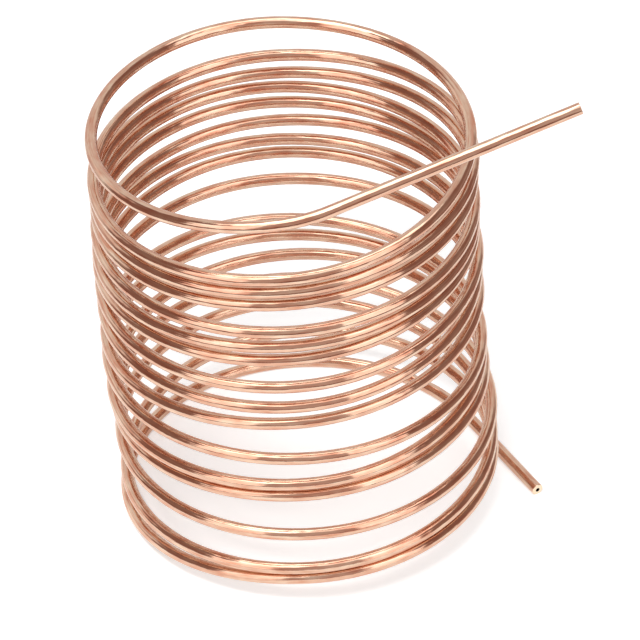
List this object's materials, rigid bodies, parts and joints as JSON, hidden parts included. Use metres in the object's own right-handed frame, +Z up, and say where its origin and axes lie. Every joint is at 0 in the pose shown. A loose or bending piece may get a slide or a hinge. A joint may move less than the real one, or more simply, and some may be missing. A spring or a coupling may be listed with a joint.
{
  "type": "immersion wort chiller",
  "caption": "Immersion wort chiller: a bare copper tube wound into an open, free-standing coil, with two straight ends led out high and low on one side.",
  "frame": {"origin": "on the ground, under the middle of the outline's box", "axes": "+Z up along the winding, +X to the side on which both ends are led out, -Y to the front, where the top turn passes into the upper leg"},
  "size_m": [0.374, 0.3008, 0.4549],
  "materials": {
    "copper": "bright drawn copper, lightly polished"
  },
  "bodies": {
    "root": {"coil": "copper", "lower_leg": "copper", "upper_leg": "copper"}
  },
  "joints": []
}
